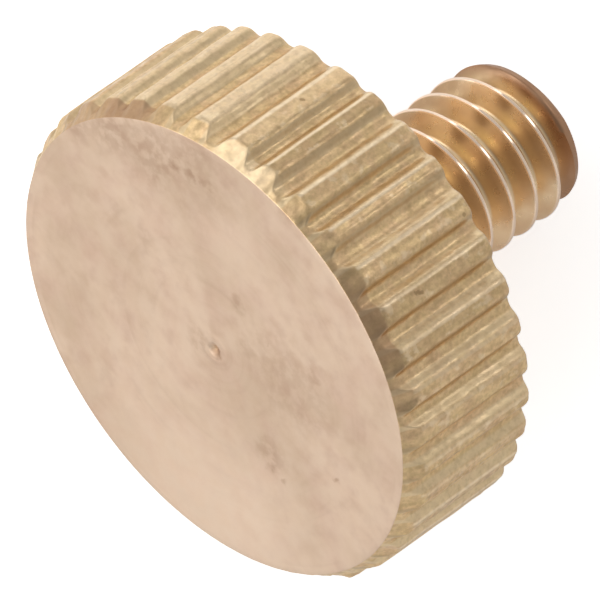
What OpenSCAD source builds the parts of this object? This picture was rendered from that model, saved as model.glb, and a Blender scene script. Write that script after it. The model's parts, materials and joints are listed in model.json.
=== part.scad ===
// Knurled thumb screw, turned from one brass bar: a thick round head with
// straight ridges round its rim, and a short threaded shank, size 8-32.
// It lies as it comes to rest on a flat surface at z = 0: on the seat-side
// edge of two neighbouring ridges and on the edge of the tip.
// Lengths are in millimetres and angles in degrees.

/* [Head] */
// Diameter over the tops of the ridges
head_d = 13.3; // [10:0.1:17]
// Thickness, from the outer face to the seat
head_h = 4.17; // [2.5:0.01:6.5]
// Radial width of the chamfer round the outer face
face_chamfer_w = 0.33; // [0.2:0.01:0.6]
// Depth of that chamfer along the axis
face_chamfer_h = 0.49; // [0.2:0.01:0.7]
// Edge break round the seat side of the rim
seat_edge = 0.08; // [0.03:0.01:0.2]

/* [Knurl] */
// Number of straight ridges round the rim
ridge_count = 37; // [24:1:45]
// Width of the groove between two ridges, at their tops
groove_w = 0.57; // [0.4:0.01:0.62]
// Depth of the groove below the tops of the ridges
groove_depth = 0.29; // [0.24:0.01:0.42]
// Radius of the rounded floor of the groove
groove_floor_r = 0.17; // [0.1:0.01:0.2]

/* [Centre mark] */
// Diameter of the small round mark in the middle of the outer face
mark_d = 0.3; // [0.1:0.05:1]
// Depth of that mark
mark_depth = 0.1; // [0.05:0.05:0.3]

/* [Threaded shank] */
// Major diameter of the thread
thread_d = 4.17; // [3:0.01:5.2]
// Length of the shank beyond the seat
shank_len = 6.63; // [4:0.01:13]
// Radial width of the chamfer on the tip
tip_chamfer_w = 0.27; // [0.1:0.01:0.4]
// Length of that chamfer along the axis, back to the last full crest of the thread
tip_chamfer_h = 0.53; // [0.2:0.01:1]

/* [Hidden] */
$fn = 96;

head_r = head_d / 2;
face_r = head_r - face_chamfer_w;
thread_r = thread_d / 2;
tip_r = thread_r - tip_chamfer_w;
total_len = head_h + shank_len;
// How far the cutters run past the surface that they open
overlap = 0.5;

// The groove's flat walls leave its round floor at a tangent
groove_floor_lift = groove_depth - groove_floor_r;
groove_floor_x = head_r - groove_floor_lift;
groove_corner_far = norm([groove_w / 2, groove_floor_lift]);
groove_wall_lean = acos(groove_floor_r / groove_corner_far) - atan2(groove_floor_lift, groove_w / 2);
groove_foot = groove_floor_r * [-sin(groove_wall_lean), cos(groove_wall_lean)];
groove_wall_out = groove_w / 2 + overlap * tan(groove_wall_lean);

// The rim touches the surface at the ridge corners either side of a groove
rim_contact_r = sqrt(head_r * head_r - groove_w * groove_w / 4);
rim_contact_h = head_h - seat_edge;
// The tip touches it at whichever end of its chamfer comes down first
tip_chamfer_start = total_len - tip_chamfer_h;
rest_tilt = min(atan((rim_contact_r - thread_r) / (tip_chamfer_start - rim_contact_h)),
                atan((rim_contact_r - tip_r) / (total_len - rim_contact_h)));

// Ends of the outline along x, measured from the middle of the outer face
back_x = min(-face_r * sin(rest_tilt),
             face_chamfer_h * cos(rest_tilt) - rim_contact_r * sin(rest_tilt));
front_x = max(total_len * cos(rest_tilt) + tip_r * sin(rest_tilt),
              tip_chamfer_start * cos(rest_tilt) + thread_r * sin(rest_tilt));
face_z = rim_contact_h * sin(rest_tilt) + rim_contact_r * cos(rest_tilt);

// Half section of the head, with both edges broken, turned about its axis
module head_blank() {
    rotate_extrude()
        polygon([
            [0, 0],
            [face_r, 0],
            [head_r, face_chamfer_h],
            [head_r, head_h - seat_edge],
            [head_r - seat_edge, head_h],
            [0, head_h]
        ]);
}

// Cross section of one groove, opening towards +X
module groove_section() {
    translate([groove_floor_x, 0])
        circle(r = groove_floor_r, $fn = 32);
    polygon([
        [groove_floor_x + groove_foot.x, -groove_foot.y],
        [head_r + overlap, -groove_wall_out],
        [head_r + overlap, groove_wall_out],
        [groove_floor_x + groove_foot.x, groove_foot.y]
    ]);
}

// All the grooves, run right through the head; the first is centred on +X
module knurl_grooves() {
    translate([0, 0, -overlap])
        linear_extrude(height = head_h + 2 * overlap)
            for (i = [0 : ridge_count - 1])
                rotate(i * 360 / ridge_count)
                    groove_section();
}

// Shank at the thread's major diameter, with the chamfered tip
module shank() {
    rotate_extrude()
        polygon([
            [0, head_h - overlap],
            [thread_r, head_h - overlap],
            [thread_r, tip_chamfer_start],
            [tip_r, total_len],
            [0, total_len]
        ]);
}

// The whole screw on its own axis: outer face at z = 0, tip upwards
module upright_screw() {
    difference() {
        union() {
            head_blank();
            shank();
        }
        knurl_grooves();
        translate([0, 0, -overlap])
            cylinder(d = mark_d, h = overlap + mark_depth, $fn = 32);
    }
}

// The screw laid down, tip towards +X and down
module thumb_screw() {
    color([0.76, 0.62, 0.43])
        translate([-(back_x + front_x) / 2, 0, face_z])
            rotate([0, 90 + rest_tilt, 0])
                upright_screw();
}

thumb_screw();
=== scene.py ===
"""A knurled brass thumb screw at rest, dressed in Blender 4.5 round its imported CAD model."""
import json
from math import cos, radians, sin

import bmesh
import bpy
import numpy as np
from mathutils import Matrix, Vector


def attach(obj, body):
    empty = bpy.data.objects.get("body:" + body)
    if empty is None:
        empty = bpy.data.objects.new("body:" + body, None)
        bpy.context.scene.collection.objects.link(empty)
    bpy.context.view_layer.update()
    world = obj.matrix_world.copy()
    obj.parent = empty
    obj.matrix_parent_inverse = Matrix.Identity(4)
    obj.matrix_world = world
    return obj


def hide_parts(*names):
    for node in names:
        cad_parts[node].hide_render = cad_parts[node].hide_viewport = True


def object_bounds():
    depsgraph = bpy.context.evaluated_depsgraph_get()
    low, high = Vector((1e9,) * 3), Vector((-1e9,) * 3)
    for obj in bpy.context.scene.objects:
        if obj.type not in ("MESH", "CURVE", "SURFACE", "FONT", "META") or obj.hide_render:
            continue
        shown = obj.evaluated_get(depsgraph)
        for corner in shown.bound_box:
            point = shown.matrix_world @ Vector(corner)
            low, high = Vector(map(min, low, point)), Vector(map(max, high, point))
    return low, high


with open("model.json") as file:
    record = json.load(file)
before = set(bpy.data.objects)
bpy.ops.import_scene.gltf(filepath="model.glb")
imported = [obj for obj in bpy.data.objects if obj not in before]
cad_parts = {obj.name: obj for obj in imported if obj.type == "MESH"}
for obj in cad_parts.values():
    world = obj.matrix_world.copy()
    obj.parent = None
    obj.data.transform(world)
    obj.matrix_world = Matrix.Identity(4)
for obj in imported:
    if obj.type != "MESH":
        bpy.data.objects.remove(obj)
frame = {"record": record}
cad_low, cad_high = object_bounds()

# ---------------------------------------------------------------------------
# The camera. It is set by the screw's own axis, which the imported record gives:
# half a metre off, looking down past the outer face, so that the face, the
# ridges and the end of the thread all show.
# ---------------------------------------------------------------------------
mounts = {mount["name"]: mount for mount in frame["record"]["mounts"]}
along = Vector(mounts["thread"]["axis"]).normalized()
level = Vector((0.0, 1.0, 0.0))
above = along.cross(level)

# the angle from the line of sight to the axis, how far the camera stands round
# the axis, and how far the shank leans up from the right of the view
sight_off_axis = radians(57.87)
round_the_axis = radians(4.37)
shank_above_right = radians(35.08)
camera_distance = 0.53313
camera_shift = (0.00045, 0.00072)
camera_angle = radians(1.5574)

side = cos(round_the_axis) * level + sin(round_the_axis) * above
over = along.cross(side)
backward = sin(sight_off_axis) * over - cos(sight_off_axis) * along
shank_way = side.cross(backward)
right = cos(shank_above_right) * shank_way - sin(shank_above_right) * side
upward = sin(shank_above_right) * shank_way + cos(shank_above_right) * side

middle = (cad_low + cad_high) / 2
camera_place = (middle + backward * camera_distance
                - right * camera_shift[0] - upward * camera_shift[1])
camera_data = bpy.data.cameras.new("camera")
camera_data.angle = camera_angle
camera_data.clip_start = 0.01
camera_data.clip_end = 10.0
camera = bpy.data.objects.new("camera", camera_data)
camera_turn = Matrix((right, upward, backward)).transposed().to_4x4()
camera.matrix_world = Matrix.Translation(camera_place) @ camera_turn
bpy.context.scene.collection.objects.link(camera)
bpy.context.scene.camera = camera

# ---------------------------------------------------------------------------
# The knurled head: a thick brass disc turned from bar and faced flat, with
# straight grooves rolled across its rim from end to end and a chamfer cut
# round its outer face.
# ---------------------------------------------------------------------------

# from here on, lengths are in millimetres on the screw's own axis: x and y
# across it, height from the outer face towards the tip
mm = 0.001
thread_middle = Vector(mounts["thread"]["pos_m"])
face_point = Vector(mounts["outer_face"]["pos_m"])
seat_point = Vector(mounts["seat"]["pos_m"])
face_centre = thread_middle - along * (thread_middle - face_point).dot(along)
head_radius = (cad_high.y - cad_low.y) / 2 / mm
head_height = (seat_point - face_point).dot(along) / mm

ridge_count = 37
ridge_spacing = 2 * np.pi / ridge_count
half_spacing = ridge_spacing * head_radius / 2
chamfer_width = 0.33
chamfer_height = 0.49
face_radius = head_radius - chamfer_width
face_border = 0.16
face_corner, chamfer_corner, back_corner = 0.02, 0.07, 0.24

# distances across a groove are from its middle: to its lips, to the painted
# highlight on one lip and to the painted shade on the wall across from it
groove_depth = 0.25
lip_place = 0.42
lip_highlight_place, lip_highlight_width = 0.37, 0.065
wall_shade_place, wall_shade_width = -0.25, 0.09

# columns of points to one groove, and how many of them share one column of
# the smoother face, seat and shank
groove_columns = 32
rim_to_coarse = 8
dice = np.random.default_rng(39)

# the knurl is uneven: these grooves, counted from the one at the bottom, were
# rolled wider or narrower than they should be, and a little off their place
uneven = slice(13, 24)
wider = (0.03, 0.08, 0.14, -0.12, 0.07, -0.05, 0.08, -0.04, 0.04, 0.07, 0.00)
moved = (-0.10, -0.12, -0.04, 0.09, 0.00, 0.05, -0.02, 0.06, 0.06, 0.05, 0.02)


def ripples(points, size, count):
    """Soft unevenness between about -1 and 1: the sum of `count` cosine waves of one length,
    divided by the root of their number. The waves run through the points in random directions
    from random starts."""
    ways = dice.normal(size=(count, 3))
    ways /= np.linalg.norm(ways, axis=1, keepdims=True)
    phases = dice.uniform(0, 2 * np.pi, count)
    return np.cos(points @ ways.T * (2 * np.pi / size) + phases).sum(-1) / np.sqrt(count)


def groove_outline(steps):
    """One groove between the middles of two ridges, as distance across and depth below the ridge
    tops: a round floor, walls at about 50 degrees, a wide soft lip on either side and a shallow
    hollow beyond. Half of it is drawn with straight lines and mirrored. Then each corner is cut
    twice, a quarter along either side of it."""
    half = np.array([(0.07, groove_depth), (0.16, 0.215), (0.25, 0.095),
                     (0.30, 0.048), (0.36, 0.016), (lip_place, 0.0),
                     (0.47, 0.002), (0.52, 0.008), (half_spacing, 0.010)])
    outline = np.concatenate([half[::-1] * (-1, 1), half])
    for _ in range(2):
        near = outline[:-1] * 0.75 + outline[1:] * 0.25
        far = outline[:-1] * 0.25 + outline[1:] * 0.75
        cut = np.stack([near, far], 1).reshape(-1, 2)
        outline = np.concatenate([outline[:1], cut[1:-1], outline[-1:]])
    along_it = np.linspace(0, len(outline) - 1, steps + 1)[:-1]
    counted = np.arange(len(outline))
    return np.interp(along_it, counted, outline[:, 0]), np.interp(along_it, counted, outline[:, 1])


def knurl_columns():
    """Azimuth, radius, share of the groove's depth and painted light for every column round the rim.
    The outline of one groove is repeated round the head, with each groove's width, depth and place a
    little off, and each ridge's top a little lower than the widest circle. The painted light is a bell
    curve up to 1 on one lip, a painted highlight, less one of 1 on the far wall, a painted shade."""
    across, depth = groove_outline(groove_columns)
    in_groove = np.abs(across) <= lip_place
    widen = dice.uniform(-0.06, 0.06, ridge_count)
    shift = dice.uniform(-0.05, 0.05, ridge_count)
    widen[uneven] = wider
    shift[uneven] = moved
    widen[0] = 0
    shift[0] = 0
    deepen = 1 + dice.uniform(-0.08, 0.04, ridge_count)[:, None]
    lower = dice.uniform(0.0, 0.018, ridge_count)
    lower[[0, -1]] = 0

    left_lip = (-lip_place - widen / 2 + shift)[:, None]
    right_lip = (lip_place + widen / 2 + shift)[:, None]
    inside = left_lip + (right_lip - left_lip) * (across + lip_place) / (2 * lip_place)
    to_middle = (np.abs(across) - lip_place) / (half_spacing - lip_place)
    outside = np.where(across < 0, left_lip, right_lip) * (1 - to_middle)
    outside = outside + np.sign(across) * half_spacing * to_middle
    place = np.where(in_groove, inside, outside)

    hollow = dice.uniform(0.2, 1.6, ridge_count)
    top_drop = np.where(across < 0, np.roll(lower, 1)[:, None], lower[:, None])
    hollowed = np.where(across < 0, np.roll(hollow, 1)[:, None], hollow[:, None])
    down = depth * np.where(in_groove, deepen, hollowed) + top_drop * (1 - depth / groove_depth)
    azimuth = np.arange(ridge_count)[:, None] * ridge_spacing + place / head_radius
    share = depth * np.where(in_groove, 1.0, hollowed) / groove_depth

    # a painted highlight of random strength on one lip of each groove, and painted shade on the wall
    # across from it
    lip_highlight_strength = 1 - 0.5 * dice.uniform(0, 1, ridge_count)[:, None]
    lip_highlight_and_wall_shade = np.exp(-(((across - lip_highlight_place) / lip_highlight_width) ** 2)) * lip_highlight_strength
    lip_highlight_and_wall_shade = lip_highlight_and_wall_shade - np.exp(-(((across - wall_shade_place) / wall_shade_width) ** 2))
    return azimuth.ravel(), head_radius - down.ravel(), share.ravel(), lip_highlight_and_wall_shade.ravel()


def rounded(before, corner, after, reach, steps):
    """Points round a corner of the profile, for all columns at once: a quadratic curve that
    leaves the first line `reach` short of the corner and joins the second `reach` beyond it, but
    takes up less than half of either line."""
    to_before = before - corner
    to_after = after - corner
    length_before = np.linalg.norm(to_before, axis=-1, keepdims=True)
    length_after = np.linalg.norm(to_after, axis=-1, keepdims=True)
    start = corner + to_before * np.minimum(reach / length_before, 0.45)
    end = corner + to_after * np.minimum(reach / length_after, 0.45)
    turn = np.linspace(0, 1, steps + 1)[:, None, None]
    return start * (1 - turn) ** 2 + corner * 2 * turn * (1 - turn) + end * turn ** 2


def on_axis(azimuth, rows):
    """Turns azimuth, radius and height into x, y and height: x is the radius times the cosine of
    the azimuth, and y the radius times its sine."""
    return np.stack([rows[..., 0] * np.cos(azimuth), rows[..., 0] * np.sin(azimuth), rows[..., 1]], -1)


def head_rows(azimuth, radius):
    """The head's profile in every column, as radius and height: from near the rim of the outer
    face, up the chamfer's uneven slope to the column's own radius, along it to the back edge and
    in to the seat, with each of the three corners rounded."""
    fill = np.ones_like(radius)
    widest = on_axis(azimuth, np.stack([fill * head_radius, 0 * fill], -1))
    unevenness = 1 + 0.07 * ripples(widest, 1.8, 5) + 0.09 * ripples(widest, 0.45, 9)
    slope = chamfer_height / chamfer_width * unevenness
    inner = np.stack([fill * (face_radius - face_border), 0 * fill], -1)
    face_edge = np.stack([fill * face_radius, 0 * fill], -1)
    rim_edge = np.stack([radius, (radius - face_radius) * slope], -1)
    back_edge = np.stack([radius, fill * head_height], -1)
    seat_edge = np.stack([fill * (face_radius - face_border), fill * head_height], -1)
    first = rounded(inner, face_edge, rim_edge, face_corner, 2)
    second = rounded(face_edge, rim_edge, back_edge, chamfer_corner, 3)
    third = rounded(rim_edge, back_edge, seat_edge, back_corner, 5)
    chamfer = first[-1] + (second[0] - first[-1]) * np.linspace(0, 1, 6)[1:-1, None, None]
    length = second[-1] + (third[0] - second[-1]) * np.linspace(0, 1, 25)[1:-1, None, None]
    return np.concatenate([inner[None], first, chamfer, second, length, third, seat_edge[None]])


azimuth, rim_radius, recess, lip_highlight_and_wall_shade = knurl_columns()
head = on_axis(azimuth, head_rows(azimuth, rim_radius))
rim_columns = len(azimuth)
coarse_columns = rim_columns // rim_to_coarse
coarse_azimuth = azimuth[::rim_to_coarse]

# the ridges wander a little along their length, the rim is slightly lumpy, and
# the chamfer is torn where the cutter ran over the ridges
wander_reach = 0.005
lump_height = 0.005
flake_depth = 0.013
end_margin = 0.1
chamfer_margin = 0.08
outwards = np.stack([np.cos(azimuth), np.sin(azimuth), 0 * azimuth], -1)
sideways = np.stack([-np.sin(azimuth), np.cos(azimuth), 0 * azimuth], -1)
up_rim = head[..., 2:]
off_face = np.clip(up_rim / end_margin, 0, 1)
off_seat = np.clip((head_height - up_rim) / end_margin, 0, 1)
wander = wander_reach * ripples(head, 1.3, 9)[..., None] * sideways
lumps = lump_height * (ripples(head, 0.8, 9)[..., None] - 1) * outwards
above_foot = np.clip(up_rim / chamfer_margin, 0, 1)
below_top = np.clip((chamfer_height - up_rim) / chamfer_margin, 0, 1)
flaked_way = 0.6 * outwards + np.array([0, 0, -0.4])
flakes = flake_depth * ripples(head, 0.33, 12)[..., None] * flaked_way * (above_foot * below_top)
head = head + (wander + lumps) * (off_face * off_seat) + flakes

# the flat face, from the centre outwards, with the small pit that the lathe
# centre left, a little off the middle, and a low ring round it
near_rings = np.linspace(0.02, 0.46, 12)
far_rings = [0.55, 0.7, 0.9, 1.2, 1.7, 2.4, 3.2, 4.0, 4.8, 5.5, 6.0]
face_rings = np.concatenate([near_rings, far_rings])
pit_radius = 0.20
pit_depth = 0.10
pit_place = np.array([0.05, -0.08])
ring_radius, ring_width, ring_height = 0.36, 0.06, 0.008
pit = pit_depth * np.clip(1 - face_rings / pit_radius, 0, 1) ** 0.8
raised = ring_height * np.exp(-(((face_rings - ring_radius) / ring_width) ** 2))
flat = np.ones_like(coarse_azimuth)
face_profile = np.stack([face_rings[:, None] * flat, (pit - raised)[:, None] * flat], -1)
face_points = on_axis(coarse_azimuth, face_profile)
face_points[..., :2] += pit_place * np.clip(1 - face_rings / 2.0, 0, 1)[:, None, None] ** 2

# the seat, from the rim inwards to the shank
thread_radius = mounts["thread"]["dims"]["r_mm"]
seat_rings = np.array([face_radius - 0.3, 4.4, 3.0, thread_radius + 0.15])[:, None]
seat_profile = np.stack([seat_rings * flat, head_height + 0 * seat_rings * flat], -1)
seat_points = on_axis(coarse_azimuth, seat_profile)


def add(tree, kind, sockets, **settings):
    """Adds one shader node: its plain settings by name, then each of its inputs, which takes
    another node's output where one is given and otherwise the value itself."""
    node = tree.nodes.new("ShaderNode" + kind)
    for name, value in settings.items():
        setattr(node, name, value)
    for name, value in sockets.items():
        if isinstance(value, bpy.types.NodeSocket):
            tree.links.new(value, node.inputs[name])
        else:
            node.inputs[name].default_value = value
    return node


def noise(tree, place, size, detail=2.0):
    """Cloudy noise about 0.5, whose largest blobs are `size` millimetres apart."""
    cloud = add(tree, "TexNoise", {"Vector": place, "Scale": 1 / size, "Detail": detail})
    return cloud.outputs["Fac"]


def between(tree, value, low, high, start=0.0, end=1.0):
    """Carries the value from low..high to start..end on a smooth step, and holds it outside."""
    sockets = {0: value, 1: low, 2: high, 3: start, 4: end}
    return add(tree, "MapRange", sockets, interpolation_type="SMOOTHSTEP").outputs[0]


def clouds(tree, place, size, detail, low, high, start, end):
    """Noise of one size, with its values from low to high carried to start..end."""
    return between(tree, noise(tree, place, size, detail), low, high, start, end)


def maths(tree, kind, one, two):
    """One number from two, such as ADD or MAXIMUM."""
    return add(tree, "Math", {0: one, 1: two}, operation=kind).outputs[0]


def times(tree, one, two):
    """The product of two numbers."""
    return maths(tree, "MULTIPLY", one, two)


def vectors(tree, kind, one, two):
    """One vector from two, such as ADD or MULTIPLY."""
    return add(tree, "VectorMath", {0: one, 1: two}, operation=kind).outputs["Vector"]


def tinted(tree, amount, under, over):
    """Mixes from the first colour to the second by the amount."""
    return add(tree, "Mix", {0: amount, 6: under, 7: over}, data_type="RGBA").outputs[2]


def stored(tree, name, output="Fac"):
    """What the mesh stores under a name at each point."""
    return add(tree, "Attribute", {}, attribute_name=name).outputs[output]


def flattened(tree, place):
    """The same place with its height taken out."""
    return vectors(tree, "MULTIPLY", place, (1, 1, 0))


def height_at(tree, place):
    """Height above the outer face."""
    return add(tree, "SeparateXYZ", {"Vector": place}).outputs["Z"]


def off_axis(tree, place):
    """Distance from the screw's axis."""
    return add(tree, "VectorMath", {0: flattened(tree, place)}, operation="LENGTH").outputs["Value"]


def around(tree, place, spot, inner, outer, strength, beyond=0.0):
    """An amount that is `strength` within `inner` of a spot and `beyond` from `outer` on."""
    gap = add(tree, "VectorMath", {0: place, 1: spot}, operation="DISTANCE").outputs["Value"]
    return between(tree, gap, inner, outer, strength, beyond)


def frayed(tree, place, blobs_in_one, reach):
    """Pushes places about with coloured noise, up to half of `reach` each way, so that the
    outline of a spot drawn on them is ragged."""
    push = add(tree, "TexNoise", {"Vector": place, "Scale": blobs_in_one, "Detail": 3.0})
    push = vectors(tree, "SUBTRACT", push.outputs["Color"], (0.5, 0.5, 0.5))
    push = add(tree, "VectorMath", {0: push, "Scale": reach}, operation="SCALE").outputs["Vector"]
    return vectors(tree, "ADD", place, push)


def turned_to(radius, turn, height=0.0):
    """The place at a radius, an azimuth in degrees and a height."""
    return radius * cos(radians(turn)), radius * sin(radians(turn)), height


def started_finish(name):
    """A new brass material with its shader, and millimetres on the screw's own axis, which its
    patterns read."""
    finish = bpy.data.materials.new(name)
    finish.use_nodes = True
    tree = finish.node_tree
    shader = tree.nodes["Principled BSDF"]
    shader.inputs["Metallic"].default_value = 1.0
    return finish, tree, shader, stored(tree, "own", "Vector")


def coated(tree, shader, colour, roughness, relief, relief_height):
    """Joins the colour, the roughness and a relief from 0 to 1, which stands `relief_height`
    millimetres high, to the shader."""
    tree.links.new(colour, shader.inputs["Base Color"])
    tree.links.new(roughness, shader.inputs["Roughness"])
    bump = add(tree, "Bump", {"Height": relief, "Distance": relief_height * mm, "Strength": 1.0})
    tree.links.new(bump.outputs["Normal"], shader.inputs["Normal"])


# the outer face, the edge of its chamfer and the seat: turned brass gone dull,
# in clouds of tan and rose, with faint rings from the lathe and ragged brown
# stains. Two brighter places on the face are painted light, the seat is painted
# paler as painted light, and the darkest spot, in the lathe centre's pit, is
# painted shade.
faced_brass, tree, shader, place = started_finish("faced_brass")
pale = (0.700, 0.533, 0.399, 1)
tan = (0.600, 0.445, 0.320, 1)
rosy = (0.640, 0.455, 0.345, 1)
face_painted_light = (0.800, 0.625, 0.480, 1)
brown = (0.400, 0.255, 0.165, 1)
edge_brass = (0.680, 0.470, 0.290, 1)
seat_painted_light = (0.900, 0.690, 0.470, 1)
# x, y, size and strength of each
painted_light_places = ((4.9, -2.9, 5.5, 0.62), (-3.5, 1.3, 1.9, 0.45))
stains_and_pit_shade = ((-2.3, 5.7, 1.1, 0.5), (-3.1, 4.4, 1.3, 0.50), (-3.6, 3.9, 0.40, 0.80),
          (-3.9, 3.4, 0.35, 0.80), (-4.2, 3.0, 0.30, 0.60), (-4.4, 3.7, 1.2, 0.35),
          (0.3, 0.3, 0.6, 0.35), (-1.1, -0.6, 0.45, 0.3), (-2.05, 0.3, 0.35, 0.4),
          (-2.0, -0.85, 0.12, 0.6), (-2.7, -2.2, 0.4, 0.4), (-1.8, -1.9, 1.9, 0.28),
          (0.9, -2.8, 0.7, 0.45), (1.1, -3.1, 0.22, 0.6), (-0.75, -4.4, 0.14, 0.6),
          (1.2, -3.6, 0.14, 0.5), (4.6, 1.3, 0.5, 0.2), (-0.5, 3.0, 0.5, 0.2),
          (0.08, -0.18, 0.22, 0.9), (-1.2, 6.4, 0.8, 0.5), (-3.3, 5.7, 0.7, 0.5),
          (-6.4, 1.1, 0.5, 0.45), (-4.0, 3.4, 2.2, 0.2))

colour = tinted(tree, clouds(tree, place, 4.0, 4.0, 0.38, 0.63, 0.0, 0.95), pale, tan)
colour = tinted(tree, clouds(tree, place, 1.2, 3.0, 0.40, 0.70, 0.0, 0.60), colour, rosy)
colour = tinted(tree, clouds(tree, place, 0.6, 6.0, 0.42, 0.76, 0.0, 0.20), colour, brown)
ring = add(tree, "CombineXYZ", {"X": off_axis(tree, place)}).outputs["Vector"]
rings = times(tree, clouds(tree, ring, 0.35, 3.0, 0.45, 0.70, 0.0, 0.2),
              clouds(tree, place, 2.2, 2.0, 0.42, 0.62, 0.0, 1.0))
colour = tinted(tree, rings, colour, brown)
# painted light: the face is painted brighter in two places
for x, y, size, strength in painted_light_places:
    shine = around(tree, place, (x, y, 0), size * 0.1, size, strength)
    colour = tinted(tree, shine, colour, face_painted_light)
height = height_at(tree, place)
colour = tinted(tree, between(tree, height, 0.02, 0.10), colour, edge_brass)
# painted light: the seat is painted paler than the face
seat_lightening = between(tree, height, head_height - 0.3, head_height - 0.1, 0.0, 0.75)
colour = tinted(tree, seat_lightening, colour, seat_painted_light)
ragged = frayed(tree, place, 3.0, 0.5)
stained_and_shaded = 0.0
# stains, and painted shade in the lathe centre's pit
for x, y, size, strength in stains_and_pit_shade:
    spot_darkening = around(tree, ragged, (x, y, 0), size * 0.2, size * 1.1, strength)
    stained_and_shaded = maths(tree, "MAXIMUM", spot_darkening, stained_and_shaded)
stained_and_shaded = times(tree, stained_and_shaded, clouds(tree, place, 0.3, 3.0, 0.35, 0.6, 0.3, 1.0))
colour = tinted(tree, stained_and_shaded, colour, brown)
roughness = clouds(tree, place, 0.5, 3.0, 0.3, 0.7, 0.42, 0.55)
coated(tree, shader, colour, roughness, noise(tree, place, 0.16), 0.003)

# the rim: yellower brass, streaked along the ridges and speckled. One lip of each
# groove has a painted highlight, weaker on the unlit side, and the wall across
# from it has painted shade, weaker on the lit side. The ridge tops have a painted
# highlight on the lit side and are darker at two azimuths, and the groove walls
# are painted paler, as painted light. The chamfer is darker brown in places and
# has a painted glint in one, and there are a few nicks.
knurled_brass, tree, shader, place = started_finish("knurled_brass")
yellow = (0.895, 0.642, 0.355, 1)
olive = (0.740, 0.545, 0.272, 1)
copper = (0.790, 0.535, 0.315, 1)
rubbed_and_highlight = (1.000, 0.810, 0.560, 1)
paler_wall_paint = (0.860, 0.680, 0.430, 1)
dirt_and_shade = (0.400, 0.260, 0.130, 1)
chamfer_brown = (0.450, 0.265, 0.155, 1)
# azimuth, size and strength of each, and the height of each nick
darker_top_places = ((160.0, 1.5, 0.22), (206.0, 1.8, 0.12))
darker_chamfer_places = ((104.0, 1.7, 0.55), (119.0, 1.3, 0.75), (128.0, 0.8, 0.25),
               (190.0, 0.8, 0.25), (201.0, 1.5, 0.55), (213.0, 1.3, 0.25))
nicks = ((199.5, 1.55, 0.08, 0.8), (199.8, 1.64, 0.09, 0.8), (200.1, 1.73, 0.07, 0.7),
         (151.4, 2.60, 0.08, 0.8), (191.9, 3.85, 0.09, 0.7), (205.0, 3.10, 0.06, 0.6))
lit_side_place = turned_to(head_radius, 130.0)
unlit_side_place = turned_to(head_radius, 225.0)
chamfer_glint_place = turned_to(face_radius, 155.5)
chamfer_spot_height = 0.2

depth = stored(tree, "sunk")
painted_rim_light = stored(tree, "painted_rim_light")
across = flattened(tree, place)
drawn = vectors(tree, "MULTIPLY", place, (1.0, 1.0, 0.12))
on_slope = between(tree, height_at(tree, place), chamfer_height - 0.07, chamfer_height, 1.0, 0.0)
on_rim = maths(tree, "SUBTRACT", 1.0, on_slope)

streaks = times(tree, clouds(tree, drawn, 0.22, 3.0, 0.35, 0.65, 0.0, 1.0), 0.6)
colour = tinted(tree, streaks, yellow, olive)
colour = tinted(tree, clouds(tree, place, 0.45, 4.0, 0.40, 0.70, 0.0, 0.70), colour, copper)
colour = tinted(tree, clouds(tree, place, 0.25, 4.0, 0.42, 0.80, 0.0, 0.45), colour, dirt_and_shade)
colour = tinted(tree, clouds(tree, place, 0.10, 2.0, 0.35, 0.65, 0.0, 0.24), colour, dirt_and_shade)
# the ridge tops are darker at these azimuths
for turn, size, strength in darker_top_places:
    darker_tops = around(tree, across, turned_to(head_radius, turn), size * 0.2, size, strength)
    darker_tops = times(tree, times(tree, darker_tops, between(tree, depth, 0.5, 0.1)), on_rim)
    colour = tinted(tree, darker_tops, colour, dirt_and_shade)

# painted highlight along one lip of each groove, weaker near the unlit side
lip_highlight = times(tree, between(tree, painted_rim_light, 0.0, 1.0),
             around(tree, across, unlit_side_place, 1.0, 4.0, 0.40, 1.0))
colour = tinted(tree, times(tree, lip_highlight, on_rim), colour, rubbed_and_highlight)
# painted highlight on the ridge tops near the lit side
top_highlight = times(tree, around(tree, across, lit_side_place, 1.2, 3.2, 0.52), on_rim)
colour = tinted(tree, times(tree, top_highlight, between(tree, depth, 0.40, 0.05)), colour, rubbed_and_highlight)
# painted glint on the chamfer in one place
chamfer_glint = times(tree, around(tree, across, chamfer_glint_place, 0.4, 1.4, 0.5), on_slope)
colour = tinted(tree, chamfer_glint, colour, rubbed_and_highlight)
flecks = times(tree, clouds(tree, place, 0.28, 3.0, 0.54, 0.68, 0.0, 0.40), on_rim)
colour = tinted(tree, times(tree, flecks, between(tree, depth, 0.20, 0.05)), colour, rubbed_and_highlight)

# painted light: the groove walls are painted paler
wall_lightening = times(tree, between(tree, depth, 0.12, 0.3), between(tree, depth, 0.95, 0.75))
colour = tinted(tree, times(tree, wall_lightening, 0.6), colour, paler_wall_paint)
# painted shade on the wall across from each highlighted lip, weaker near the lit side
wall_shade = times(tree, between(tree, painted_rim_light, -0.1, -1.0),
              around(tree, across, lit_side_place, 1.5, 4.5, 0.12, 0.50))
colour = tinted(tree, wall_shade, colour, dirt_and_shade)
grains = times(tree, clouds(tree, place, 0.16, 3.0, 0.45, 0.68, 0.0, 0.22), on_rim)
colour = tinted(tree, grains, colour, dirt_and_shade)

ragged = frayed(tree, place, 7.0, 0.12)
for turn, high, size, strength in nicks:
    nick = around(tree, ragged, turned_to(head_radius, turn, high), size * 0.5, size, strength)
    colour = tinted(tree, nick, colour, dirt_and_shade)
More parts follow.
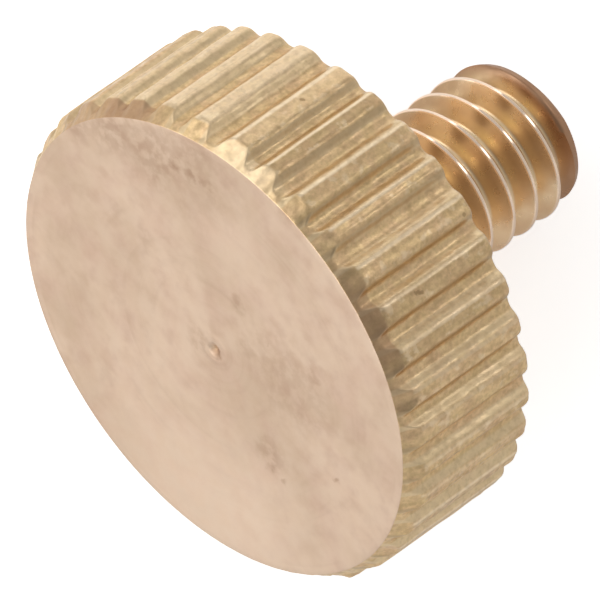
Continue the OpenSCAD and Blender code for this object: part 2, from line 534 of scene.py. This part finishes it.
# the chamfer is darker brown at these places
for turn, size, strength in darker_chamfer_places:
    chamfer_spot = turned_to(face_radius, turn, chamfer_spot_height)
    chamfer_darkening = around(tree, ragged, chamfer_spot, size * 0.3, size, strength)
    colour = tinted(tree, times(tree, chamfer_darkening, on_slope), colour, chamfer_brown)
roughness = clouds(tree, place, 0.4, 3.0, 0.3, 0.7, 0.33, 0.48)
fine_dents = times(tree, noise(tree, place, 0.15, 3.0), 0.3)
dents = maths(tree, "ADD", noise(tree, place, 0.5, 1.0), fine_dents)
coated(tree, shader, colour, roughness, dents, 0.030)

# ---------------------------------------------------------------------------
# The threaded shank: a right-hand 8-32 thread, cut in one piece with the
# head. It fades out just short of the seat, and the tip is chamfered.
# ---------------------------------------------------------------------------
pitch = 25.4 / 32
thread_depth = 0.6134 * pitch
root_round = 0.144 * pitch
crest_half = pitch / 20
crest_round = 0.02
flank_lean = np.radians(30)
tip_chamfer_width = 0.18
tip_chamfer_length = 0.53
shank_end = head_height + mounts["thread"]["dims"]["length_mm"] + tip_chamfer_length
fade_from = head_height + 0.06
fade_length = 1.2 * pitch

# the height of one crest along the lowest side, which places all the others
crest_below = 9.43


def thread_half(crest_steps, corner_steps, flank_steps, root_steps):
    """Half a thread, from the middle of its crest to the middle of its root, as distance along
    the axis and depth below the crest: a flat crest, a small round corner, a straight flank that
    leans 30 degrees, and a round root."""
    slope = np.tan(flank_lean)
    corner_run = crest_round * np.tan((np.pi / 2 - flank_lean) / 2)
    corner_turn = np.linspace(0, np.pi / 2 - flank_lean, corner_steps + 1)
    corner_x = crest_half - corner_run + crest_round * np.sin(corner_turn)
    corner = np.c_[corner_x, crest_round * (1 - np.cos(corner_turn))]
    crest_x = np.linspace(0, corner_x[0], crest_steps, endpoint=False)
    crest = np.c_[crest_x, np.zeros(crest_steps)]
    root_turn = np.linspace(np.pi / 2 - flank_lean, 0, root_steps + 1)
    sharp_depth = (pitch / 2 - crest_half) / slope
    root_centre = sharp_depth - root_round / np.sin(flank_lean)
    root_x = pitch / 2 - root_round * np.sin(root_turn)
    root = np.c_[root_x, root_centre + root_round * np.cos(root_turn)]
    flank = corner[-1] + (root[0] - corner[-1]) * np.linspace(0, 1, flank_steps + 1)[1:-1, None]
    return np.concatenate([crest, corner, flank, root])


def thread_rows(azimuth):
    """The shank as radius, height and share of the thread's depth: every turn of the profile,
    raised by one pitch for each turn of the azimuth, kept between the seat and the tip, faded to
    a plain cylinder at the seat and cut by the cone of the tip's chamfer."""
    half = thread_half(2, 3, 4, 4)
    back = half[-2:0:-1]
    section = np.concatenate([half, np.c_[pitch - back[:, 0], back[:, 1]]])
    turns = np.arange(-2, int((shank_end - head_height) / pitch) + 3)
    start = crest_below - pitch * np.floor((crest_below - head_height) / pitch)
    heights = (start + pitch * turns[:, None] + section[:, 0]).ravel()
    height = heights[:, None] + pitch * azimuth / (2 * np.pi)
    height = np.clip(height, head_height, shank_end)
    phase = (height - start - pitch * azimuth / (2 * np.pi)) % pitch
    depth = np.interp(phase, np.append(section[:, 0], pitch), np.append(section[:, 1], 0))
    fade = np.clip((height - fade_from) / fade_length, 0, 1)
    depth = depth * fade * fade * (3 - 2 * fade)
    cone = thread_radius - tip_chamfer_width * (1 - (shank_end - height) / tip_chamfer_length)
    radius = np.minimum(thread_radius - depth, cone)
    return np.stack([radius, height], -1), (thread_radius - radius) / thread_depth


thread_azimuth = np.append(coarse_azimuth, coarse_azimuth[0] + 2 * np.pi)
shank, thread_share = thread_rows(thread_azimuth)
fill = np.ones_like(thread_azimuth)
seat_join = np.stack([fill * seat_rings[-1], fill * head_height], -1)[None]
tip_rings = np.array([0.75, 0.4, 0.1])[:, None]
tip_profile = np.stack([tip_rings * shank[-1, :, 0], fill * shank_end + 0 * tip_rings], -1)
shank_rows = np.concatenate([seat_join, shank, tip_profile])
shank_points = on_axis(thread_azimuth, shank_rows)

# freshly cut brass, redder and glossier than the head, with pale polished
# crests, painted shade down some sides, a painted glint on one side and painted
# shade at the end
threaded_brass, tree, shader, place = started_finish("threaded_brass")
orange = (0.920, 0.695, 0.450, 1)
peach = (1.000, 0.780, 0.600, 1)
rust = (0.840, 0.585, 0.355, 1)
glint_gold = (1.000, 0.760, 0.430, 1)
thread_shade_paint = (0.430, 0.270, 0.145, 1)
tip_shade_paint = (0.400, 0.210, 0.120, 1)
# azimuth, size and strength of each
painted_shade_sides = ((100.0, 1.6, 0.84), (160.0, 0.4, 0.80), (189.0, 0.5, 0.25), (204.0, 1.3, 0.55))
glint_side = turned_to(thread_radius, 173.0)

depth = stored(tree, "sunk")
across = flattened(tree, place)
colour = tinted(tree, clouds(tree, place, 0.8, 3.0, 0.35, 0.65, 0.0, 0.7), orange, rust)
# painted shade down the shank at these azimuths
for turn, size, strength in painted_shade_sides:
    side_shade = around(tree, across, turned_to(thread_radius, turn), size * 0.2, size, strength)
    colour = tinted(tree, side_shade, colour, thread_shade_paint)
colour = tinted(tree, between(tree, depth, 0.10, 0.02), colour, peach)
# a painted glint deep in the thread on one side
glow = times(tree, around(tree, across, glint_side, 0.25, 0.65, 1.0, 0.25),
             between(tree, depth, 0.35, 0.80))
colour = tinted(tree, glow, colour, glint_gold)
height = height_at(tree, place)
# painted shade on the tip's chamfered end
tip_shade = times(tree, between(tree, height, shank_end - 0.55, shank_end - 0.35, 0.0, 0.85),
              between(tree, off_axis(tree, place), 1.30, 1.85, 0.3, 1.0))
colour = tinted(tree, tip_shade, colour, tip_shade_paint)
satin = clouds(tree, place, 0.3, 3.0, 0.3, 0.7, 0.26, 0.38)
roughness = times(tree, satin, between(tree, depth, 0.02, 0.12, 0.45, 1.0))
coated(tree, shader, colour, roughness, noise(tree, place, 0.3, 1.0), 0.002)

# ---------------------------------------------------------------------------
# The whole screw. Head and shank are one piece of bar, so their surfaces are
# joined into one closed skin, which carries three finishes and stands for the
# plain solid of the frame.
# ---------------------------------------------------------------------------


def ring_quads(first, rows, columns):
    """Quads of a closed band of rings: each joins two neighbours in one ring to the two beside
    them in the next, in the order that faces outwards when the rings run from face to tip."""
    ring = first + np.arange(rows)[:, None] * columns + np.arange(columns)
    beside = np.roll(ring, -1, axis=1)
    return np.stack([ring[:-1], beside[:-1], beside[1:], ring[1:]], -1).reshape(-1, 4).tolist()


def stitches(coarse, fine, fine_comes_first):
    """Polygons that join a ring to one with a whole number of times as many points."""
    share = len(fine) // len(coarse)
    joins = []
    for order, here in enumerate(coarse):
        there = coarse[(order + 1) % len(coarse)]
        run = [fine[(order * share + step) % len(fine)] for step in range(share + 1)]
        joins.append([*run, there, here] if fine_comes_first else [here, there, *run[::-1]])
    return joins


groups = [face_points, head, seat_points, shank_points]
starts = np.cumsum([0] + [group.shape[0] * group.shape[1] for group in groups])
last_face_ring = (starts[1] - coarse_columns + np.arange(coarse_columns)).tolist()
first_rim_ring = (starts[1] + np.arange(rim_columns)).tolist()
last_rim_ring = (starts[2] - rim_columns + np.arange(rim_columns)).tolist()
first_seat_ring = (starts[2] + np.arange(coarse_columns)).tolist()

# the knurl's finish leaves out two bands of the head at either end, which lie
# flat on the face and on the seat
faces = [list(range(coarse_columns))]
faces += ring_quads(starts[0], len(face_points), coarse_columns)
faces += stitches(last_face_ring, first_rim_ring, False)
knurl_begins = len(faces) + 2 * rim_columns
faces += ring_quads(starts[1], len(head), rim_columns)
knurl_ends = len(faces) - 2 * rim_columns
faces += stitches(first_seat_ring, last_rim_ring, True)
faces += ring_quads(starts[2], len(seat_points), coarse_columns)
thread_begins = len(faces)

# the shank's grid runs one turn and ends a pitch higher, so it isn't a ring
columns = coarse_columns + 1
grid = starts[3] + np.arange(len(shank_rows))[:, None] * columns + np.arange(columns)
quads = np.stack([grid[:-1, :-1], grid[:-1, 1:], grid[1:, 1:], grid[1:, :-1]], -1)
faces += quads.reshape(-1, 4).tolist()
faces += [grid[-1, :-1].tolist()]

points = np.concatenate([group.reshape(-1, 3) for group in groups])
downward = level.cross(along)
world = np.array(face_centre) + points @ np.array([downward, level, along]) * mm
screw_mesh = bpy.data.meshes.new("knurled_screw")
screw_mesh.from_pydata(world.tolist(), [], faces)

# stored at each point: millimetres on the screw's own axis, how deep it lies
# in a groove or in the thread, and the rim's painted light: a painted highlight
# above zero and painted shade below zero
own = screw_mesh.attributes.new("own", "FLOAT_VECTOR", "POINT")
own.data.foreach_set("vector", points.ravel().astype(np.float32))
sunk_shares = np.zeros(len(points), np.float32)
sunk_shares[starts[1]:starts[2]] = np.tile(recess, len(head))
thread_from = starts[3] + columns
sunk_shares[thread_from:thread_from + columns * len(shank)] = thread_share.ravel()
sunk = screw_mesh.attributes.new("sunk", "FLOAT", "POINT")
sunk.data.foreach_set("value", sunk_shares)
rim_highlight_and_shade = np.zeros(len(points), np.float32)
rim_highlight_and_shade[starts[1]:starts[2]] = np.tile(lip_highlight_and_wall_shade, len(head))
highlight_and_shade_layer = screw_mesh.attributes.new("painted_rim_light", "FLOAT", "POINT")
highlight_and_shade_layer.data.foreach_set("value", rim_highlight_and_shade)

finish_of_face = np.zeros(len(faces), np.int32)
finish_of_face[knurl_begins:knurl_ends] = 1
finish_of_face[thread_begins:] = 2
screw_mesh.polygons.foreach_set("material_index", finish_of_face)
for finish in (faced_brass, knurled_brass, threaded_brass):
    screw_mesh.materials.append(finish)

# points that meet, such as those along the shank's one seam, become one
meeting_distance = 1.3e-7
shortest_edge = 1e-8
skin = bmesh.new()
skin.from_mesh(screw_mesh)
bmesh.ops.remove_doubles(skin, verts=skin.verts, dist=meeting_distance)
bmesh.ops.dissolve_degenerate(skin, edges=skin.edges, dist=shortest_edge)
skin.to_mesh(screw_mesh)
skin.free()
screw_mesh.polygons.foreach_set("use_smooth", np.ones(len(screw_mesh.polygons), bool))
screw_mesh.set_sharp_from_angle(angle=np.radians(60))

screw = bpy.data.objects.new("knurled_screw", screw_mesh)
bpy.context.scene.collection.objects.link(screw)
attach(screw, "root")
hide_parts("thumb_screw")

# ---------------------------------------------------------------------------
# The stage: a sheet of white paper, under a studio sky that is brightest high
# on the left and dim round the camera.
# ---------------------------------------------------------------------------
floor_mesh = bpy.data.meshes.new("floor")
floor_mesh.from_pydata([(-2, -2, 0), (2, -2, 0), (2, 2, 0), (-2, 2, 0)], [], [(0, 1, 2, 3)])
paper_white = (0.85, 0.85, 0.85, 1)
glow_behind = 0.62
glow_lit, glow_unlit = 0.36, 0.06
floor = bpy.data.objects.new("floor", floor_mesh)
bpy.context.scene.collection.objects.link(floor)
paper = bpy.data.materials.new("paper")
paper.use_nodes = True
tree = paper.node_tree
sheet = tree.nodes["Principled BSDF"]
sheet.inputs["Base Color"].default_value = paper_white
sheet.inputs["Roughness"].default_value = 1.0
sheet.inputs["Specular IOR Level"].default_value = 0.0
sheet.inputs["Emission Color"].default_value = (1, 1, 1, 1)

# the paper shows white behind the screw; to the brass's reflections it also
# glows, more on the lit side than on the unlit side: painted light on the paper
rays = add(tree, "LightPath", {})
to_camera = times(tree, rays.outputs["Is Camera Ray"], glow_behind)
floor_place = add(tree, "TexCoord", {}).outputs["Object"]
unlit_way = tuple((right * 0.86 - upward * 0.5).normalized())
unlit = add(tree, "VectorMath", {0: floor_place, 1: unlit_way}, operation="DOT_PRODUCT")
glow = between(tree, unlit.outputs["Value"], -0.010, 0.012, glow_lit, glow_unlit)
to_gloss = times(tree, rays.outputs["Is Glossy Ray"], glow)
tree.links.new(maths(tree, "ADD", to_camera, to_gloss), sheet.inputs["Emission Strength"])
floor_mesh.materials.append(paper)

studio = bpy.data.worlds.new("studio")
bpy.context.scene.world = studio
studio.use_nodes = True
tree = studio.node_tree
sky = tree.nodes["Background"]
sky.inputs["Color"].default_value = (1, 1, 1, 1)
way = add(tree, "TexCoord", {}).outputs["Generated"]
plain_light = 0.56
# way to each patch's middle, right, up and back from the camera, then the two
# angles off it between which its light fades, and its strength, less than
# nothing for a dim patch
sky_patches = (((-0.61, 0.55, 0.57), 8, 27, 1.1), ((0.69, 0.56, 0.46), 3, 10, 2.2),
               ((0.70, 0.52, 0.47), 8, 28, -0.06), ((0.05, 0.99, 0.08), 2, 7, 2.0),
               ((-0.9, -0.3, 0.35), 15, 40, 1.6), ((0.12, -0.38, 0.9), 10, 45, -0.26))


def patch(direction, inner, outer, strength):
    """A round patch of the sky, whose light fades from `inner` to `outer` degrees off its
    middle, by the cosine of the angle: the dot product of the two directions."""
    aim = (right * direction[0] + upward * direction[1] + backward * direction[2]).normalized()
    closeness = add(tree, "VectorMath", {0: way, 1: aim}, operation="DOT_PRODUCT")
    edge, full = cos(radians(outer)), cos(radians(inner))
    return between(tree, closeness.outputs["Value"], edge, full, 0.0, strength)


light = plain_light
for direction, inner, outer, strength in sky_patches:
    light = maths(tree, "ADD", patch(direction, inner, outer, strength), light)
rays = add(tree, "LightPath", {})
white_to_camera = {0: rays.outputs["Is Camera Ray"], 2: light, 3: 1.0}
seen = add(tree, "Mix", white_to_camera, data_type="FLOAT").outputs[0]
tree.links.new(seen, sky.inputs["Strength"])
bpy.context.scene.view_settings.view_transform = "Standard"
